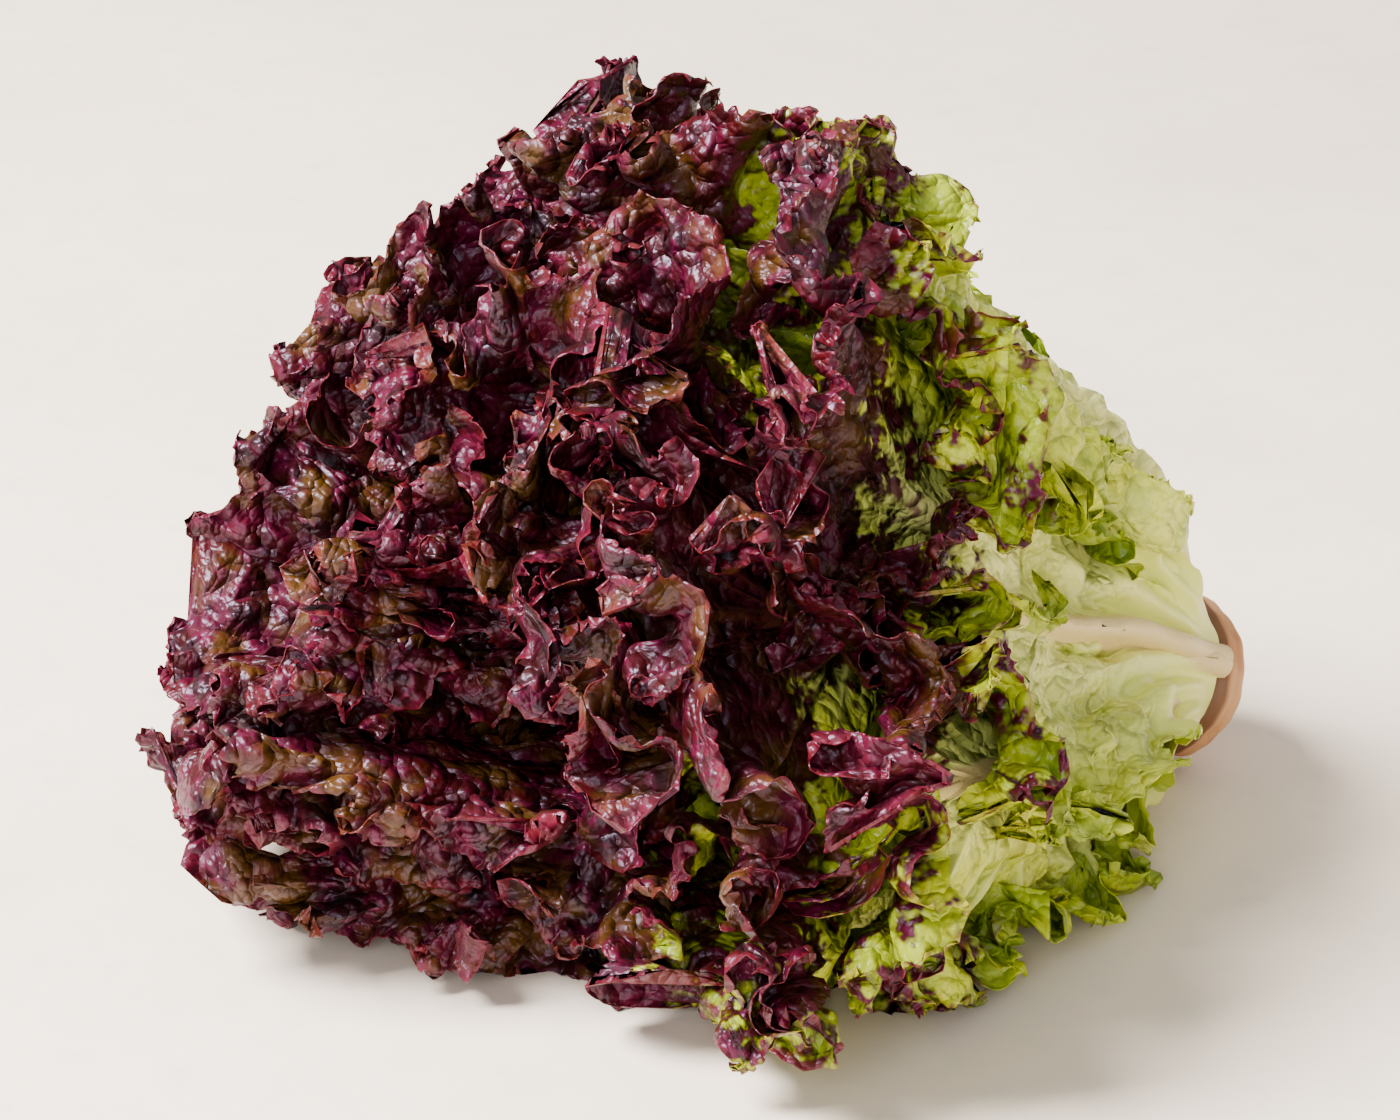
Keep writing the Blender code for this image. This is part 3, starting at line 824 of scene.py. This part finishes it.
def blade_material(
    name, dark, middle, bright_fleck_and_highlight, olive_brown, edge, green, deep_green, pale, vein_tint, rib_tint, roughness
):
    """One side of the blades: red over green, mottled, with pale veins, crimson edges and painted lilac
    highlights that follow its blisters.
    """
    material, tree, shader, add, blend, ramp, arithmetic = node_material(name)
    place = add("TexCoord")
    redness, edge_share, paleness, vein, lift, rib, crinkled = [
        add("Attribute", attribute_name=kind).outputs["Fac"]
        for kind in ("redness", "edge", "paleness", "vein", "lift", "rib", "blister_mask")
    ]
    patches, flecks, grain = [
        add("TexNoise", Scale=scale, Detail=detail, Roughness=0.6)
        for scale, detail in MOTTLES
    ]
    for texture in (patches, flecks, grain):
        tree.links.new(place.outputs["Object"], texture.inputs["Vector"])
    patch, fleck = patches.outputs["Fac"], flecks.outputs["Fac"]
    red = blend(ramp(patch, 0.36, 0.64), dark, middle)
    # Random flecks of the bright colour, then a painted highlight: the red turns towards it along the
    # blisters' relief
    red = blend(arithmetic("MULTIPLY", ramp(fleck, 0.48, 0.70), 0.75), red, bright_fleck_and_highlight)
    red = blend(arithmetic("MULTIPLY", ramp(lift, 0.10, -0.35), 0.4), red, bright_fleck_and_highlight)
    olive = add("TexNoise", Scale=70.0, Detail=2.0, Roughness=0.55)
    tree.links.new(place.outputs["Object"], olive.inputs["Vector"])
    red = blend(arithmetic("MULTIPLY", ramp(olive.outputs["Fac"], 0.50, 0.66), 0.80), red, olive_brown)
    leafy = blend(ramp(patch, 0.40, 0.62), green, deep_green)
    leafy = blend(arithmetic("MULTIPLY", ramp(lift, -0.1, 0.4), 0.15), leafy, pale)
    leafy = blend(paleness, leafy, pale)
    leafy = blend(arithmetic("MULTIPLY", vein, 0.6), leafy, pale)
    mottle = arithmetic("MULTIPLY", arithmetic("SUBTRACT", fleck, 0.5), FLECK_MOTTLE)
    blotches = arithmetic("MULTIPLY", arithmetic("SUBTRACT", patch, 0.5), PATCH_MOTTLE)
    mottle = arithmetic("ADD", mottle, blotches)
    mottle = arithmetic("ADD", mottle, arithmetic("MULTIPLY", lift, 0.15))
    mottle = arithmetic("MULTIPLY", mottle, ramp(redness, 1.3, 0.5))
    spread = arithmetic("ADD", redness, arithmetic("MULTIPLY", mottle, ramp(redness, 0.0, 0.15)))
    colour = blend(ramp(spread, *RED_BORDER), leafy, red)
    colour = blend(arithmetic("MULTIPLY", arithmetic("MULTIPLY", vein, redness), 0.18), colour, vein_tint)
    ribbed = arithmetic("MULTIPLY", ramp(rib, 0.03, 0.40), ramp(redness, 1.0, 0.3))
    colour = blend(arithmetic("MULTIPLY", ribbed, 0.7), colour, rib_tint)
    rimmed = arithmetic("MULTIPLY", edge_share, ramp(redness, 0.03, 0.30))
    colour = blend(arithmetic("MULTIPLY", rimmed, 0.45), colour, edge)
    tree.links.new(colour, shader.inputs["Base Color"])
    shine = add("MapRange")
    shine.inputs["To Min"].default_value = roughness - 0.08
    shine.inputs["To Max"].default_value = roughness + 0.10
    tree.links.new(fleck, shine.inputs["Value"])
    tree.links.new(shine.outputs["Result"], shader.inputs["Roughness"])
    shader.inputs["Specular IOR Level"].default_value = 0.42
    shader.inputs["Specular Tint"].default_value = (0.82, 0.70, 1.0, 1)
    drift = add("VectorMath", operation="MULTIPLY_ADD")
    drift.inputs[1].default_value = (0.010, 0.010, 0.010)
    tree.links.new(patches.outputs["Color"], drift.inputs[0])
    tree.links.new(place.outputs["Object"], drift.inputs[2])
    relief = arithmetic("MULTIPLY", fleck, 0.9)
    for scale, depth in FINE_BLISTERS:
        cells = add("TexVoronoi", Scale=scale, feature="F1")
        tree.links.new(drift.outputs[0], cells.inputs["Vector"])
        far = arithmetic("MULTIPLY", cells.outputs["Distance"], cells.outputs["Distance"])
        relief = arithmetic("SUBTRACT", relief, arithmetic("MULTIPLY", far, depth))
    relief = arithmetic("MULTIPLY", relief, ramp(crinkled, 0.25, 0.9))
    relief = arithmetic("ADD", relief, arithmetic("MULTIPLY", grain.outputs["Fac"], 0.10))
    bump = add("Bump", Strength=1.0, Distance=0.0016)
    tree.links.new(relief, bump.inputs["Height"])
    tree.links.new(bump.outputs["Normal"], shader.inputs["Normal"])
    return material


upper_side = blade_material(
    "leaf_upper_side",
    dark=(0.013, 0.0007, 0.0009),
    middle=(0.046, 0.0020, 0.0026),
    # The bright colour serves as bright flecks and as the painted lilac highlight on the blisters
    bright_fleck_and_highlight=(0.102, 0.0022, 0.0280),
    olive_brown=(0.070, 0.032, 0.0012),
    edge=(0.16, 0.0045, 0.0150),
    green=(0.34, 0.42, 0.005),
    deep_green=(0.13, 0.21, 0.003),
    pale=(0.46, 0.56, 0.02),
    vein_tint=(0.30, 0.06, 0.05),
    rib_tint=(0.60, 0.38, 0.22),
    roughness=0.37,
)
under_side = blade_material(
    "leaf_under_side",
    dark=(0.016, 0.0012, 0.0012),
    middle=(0.044, 0.0030, 0.0026),
    # The bright colour serves as bright flecks and as the painted lilac highlight on the blisters
    bright_fleck_and_highlight=(0.080, 0.0040, 0.0210),
    olive_brown=(0.070, 0.034, 0.0025),
    edge=(0.16, 0.0055, 0.0150),
    green=(0.58, 0.66, 0.006),
    deep_green=(0.31, 0.42, 0.005),
    pale=(0.84, 0.89, 0.25),
    vein_tint=(0.34, 0.11, 0.05),
    rib_tint=(0.76, 0.49, 0.28),
    roughness=0.38,
)

# How far up the head the red starts, and the two sides where it starts higher up, as (turn, focus,
# height)
RED_START = 0.098
GREENER_SIDES = ((math.radians(330), 6.0, 0.030), (math.radians(88), 7.0, 0.032))
RED_SPREAD = 0.060
MARGIN_REDNESS = 0.60
MARGIN_RED_DEPTH = 0.009
MARGIN_RED_START = 0.090
EDGE_WIDTH = 0.0020
THINNING_WIDTH = 0.005
LOWEST_POINT = 0.0001
BLISTERS = {
    "Blister size": 0.0105,
    "Blister height": 0.0062,
    "Rumple size": 0.022,
    "Rumple height": 0.009,
}
RIM_ANGLE = math.radians(76)
THICKENING = RIB_HEIGHT + BLADE_THICKNESS - EDGE_THICKNESS
relief = relief_tree()


def leaf_redness(points, frills):
    """How red each point of a blade is, from 0 for green to 1. Its margins redden from lower down."""
    turn = np.arctan2(points[:, 1], points[:, 0])
    start = RED_START + sum(
        further * np.exp(focus * (np.cos(turn - side_turn) - 1))
        for side_turn, focus, further in GREENER_SIDES
    )
    red = smooth_step((points[:, 2] - start) / RED_SPREAD)
    grown = smooth_step((points[:, 2] - MARGIN_RED_START) / 0.040)
    margin = MARGIN_REDNESS * smooth_step(1 - frills.to_edge / MARGIN_RED_DEPTH) * grown
    return np.maximum(red, margin)


def leaf_mesh(leaf):
    """The blade's middle surface with what its finish and its relief read."""
    u, v, faces = leaf_grid(leaf)
    frills = Frills(leaf, u, v)
    points = frills.points()
    x, y, z = settled(*points.T, BLADE_THICKNESS)
    mesh = bpy.data.meshes.new(leaf.name + "_blade")
    mesh.from_pydata(np.stack([x, y, z], axis=-1).tolist(), [], faces)
    inside = smooth_step(frills.to_edge / THINNING_WIDTH)
    thicker = frills.rib() + (BLADE_THICKNESS - EDGE_THICKNESS) * inside
    values = {
        "redness": leaf_redness(points, frills),
        "edge": smooth_step(1 - frills.to_edge / EDGE_WIDTH),
        "paleness": frills.paleness(),
        "vein": frills.vein_share() * mix(0.5, 1.0, frills.fresh()) * mix(0.3, 1.0, frills.in_front()),
        "blister_mask": frills.crinkled(),
        "rib": frills.fresh() * frills.in_front() * frills.rib() / RIB_HEIGHT,
        "thickness": thicker / THICKENING,
    }
    for name, value in values.items():
        attribute = mesh.attributes.new(name, "FLOAT", "POINT")
        attribute.data.foreach_set("value", value.astype(np.float32))
    bm = bmesh.new()
    bm.from_mesh(mesh)
    thickening = bm.verts.layers.float["thickness"]
    weights = bm.verts.layers.deform.verify()
    for vert in bm.verts:
        vert[weights][0] = vert[thickening]
    bmesh.ops.delete(bm, geom=[vert for vert in bm.verts if not vert.link_faces], context="VERTS")
    bm.to_mesh(mesh)
    bm.free()
    mesh.shade_smooth()
    mesh.materials.append(under_side)
    mesh.materials.append(upper_side)
    return mesh


def leaf_piece(number):
    """One finished blade: its surface, raised in blisters and given its thickness."""
    leaf = Leaf(number)
    leaf.margin = measured_margin(leaf)
    mesh = leaf_mesh(leaf)
    blade = bpy.data.objects.new(leaf.name + "_blade", mesh)
    bpy.context.scene.collection.objects.link(blade)
    blade.vertex_groups.new(name="thickness")
    blisters = blade.modifiers.new("blisters", "NODES")
    blisters.node_group = relief
    settings = {**BLISTERS, "Seed": float(number), "Finish": under_side}
    for socket in relief.interface.items_tree:
        if socket.name in settings:
            blisters[socket.identifier] = settings[socket.name]
    solid = blade.modifiers.new("thickness", "SOLIDIFY")
    solid.offset = 0
    solid.thickness = EDGE_THICKNESS + THICKENING
    solid.vertex_group = "thickness"
    solid.thickness_vertex_group = EDGE_THICKNESS / (EDGE_THICKNESS + THICKENING)
    solid.material_offset = 1
    done = bpy.data.meshes.new_from_object(blade.evaluated_get(bpy.context.evaluated_depsgraph_get()))
    blade.modifiers.clear()
    blade.vertex_groups.clear()
    done.set_sharp_from_angle(angle=RIM_ANGLE)
    places = np.empty(len(done.vertices) * 3, dtype=np.float32)
    done.vertices.foreach_get("co", places)
    places[2::3] = np.maximum(places[2::3], LOWEST_POINT)
    done.vertices.foreach_set("co", places)
    blade.data = done
    bpy.data.meshes.remove(mesh)
    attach(blade, "root")
    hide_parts(leaf.name)
    return blade


for number in range(LEAF_COUNT):
    leaf_piece(number)

# The table
# A pale warm stone slab with faint clouds and fine specks.

FLOOR_SIZE = 6.0


def floor_material():
    material, tree, shader, add, blend, ramp, arithmetic = node_material("pale_stone")
    place = add("TexCoord")
    clouds = add("TexNoise", Scale=5.0, Detail=8.0, Roughness=0.6)
    fine = add("TexNoise", Scale=60.0, Detail=6.0, Roughness=0.65)
    for texture in (clouds, fine):
        tree.links.new(place.outputs["Object"], texture.inputs["Vector"])
    colour = blend(ramp(clouds.outputs["Fac"], 0.38, 0.68), (0.935, 0.81, 0.70), (0.845, 0.73, 0.62))
    specks = arithmetic("MULTIPLY", ramp(fine.outputs["Fac"], 0.50, 0.75), 0.35)
    colour = blend(specks, colour, (0.66, 0.61, 0.55))
    tree.links.new(colour, shader.inputs["Base Color"])
    shader.inputs["Roughness"].default_value = 0.7
    bump = add("Bump", Strength=0.2, Distance=0.001)
    tree.links.new(fine.outputs["Fac"], bump.inputs["Height"])
    tree.links.new(bump.outputs["Normal"], shader.inputs["Normal"])
    return material


bpy.ops.mesh.primitive_plane_add(size=FLOOR_SIZE)
floor = bpy.context.object
floor.name = "stone_table"
floor.data.materials.append(floor_material())

# The light
# A large soft window high at the left, a weak fill from the front left, and a bright, slightly warm
# room.

ROOM_COLOUR = (1.0, 0.965, 0.93, 1)
ROOM_BRIGHTNESS = 0.66
LIGHTS_AIM = Vector((0, 0, 0.08))

world = bpy.data.worlds.new("room")
bpy.context.scene.world = world
world.use_nodes = True
world.node_tree.nodes["Background"].inputs["Color"].default_value = ROOM_COLOUR
world.node_tree.nodes["Background"].inputs["Strength"].default_value = ROOM_BRIGHTNESS


def soft_light(name, place, size, power, colour):
    data = bpy.data.lights.new(name, "AREA")
    data.size = size
    data.energy = power
    data.color = colour
    light = bpy.data.objects.new(name, data)
    bpy.context.scene.collection.objects.link(light)
    light.location = place
    light.rotation_euler = (LIGHTS_AIM - light.location).to_track_quat("-Z", "Y").to_euler()


soft_light("window", place=(-0.85, 0.35, 1.25), size=0.70, power=132.0, colour=(1.0, 0.95, 0.90))
soft_light("left_fill", place=(-1.1, -1.2, 0.8), size=0.9, power=17.0, colour=(1.0, 0.98, 0.96))

# The camera, at the photograph's viewing angle

CAMERA_TURN = math.radians(59)
CAMERA_RISE = math.radians(24)
CAMERA_DISTANCE = 1.0
CAMERA_TARGET = Vector((-0.0084, 0.0007, 0.0743))
CAMERA_LENS = 121.5
CAMERA_SENSOR = 36.0

back = Vector((
    -math.cos(CAMERA_TURN) * math.cos(CAMERA_RISE),
    -math.sin(CAMERA_TURN) * math.cos(CAMERA_RISE),
    math.sin(CAMERA_RISE),
))
camera_data = bpy.data.cameras.new("camera")
camera = bpy.data.objects.new("camera", camera_data)
bpy.context.scene.collection.objects.link(camera)
camera_data.lens = CAMERA_LENS
camera_data.sensor_width = CAMERA_SENSOR
camera.location = CAMERA_TARGET + back * CAMERA_DISTANCE
camera.rotation_euler = (-back).to_track_quat("-Z", "Y").to_euler()
bpy.context.scene.camera = camera
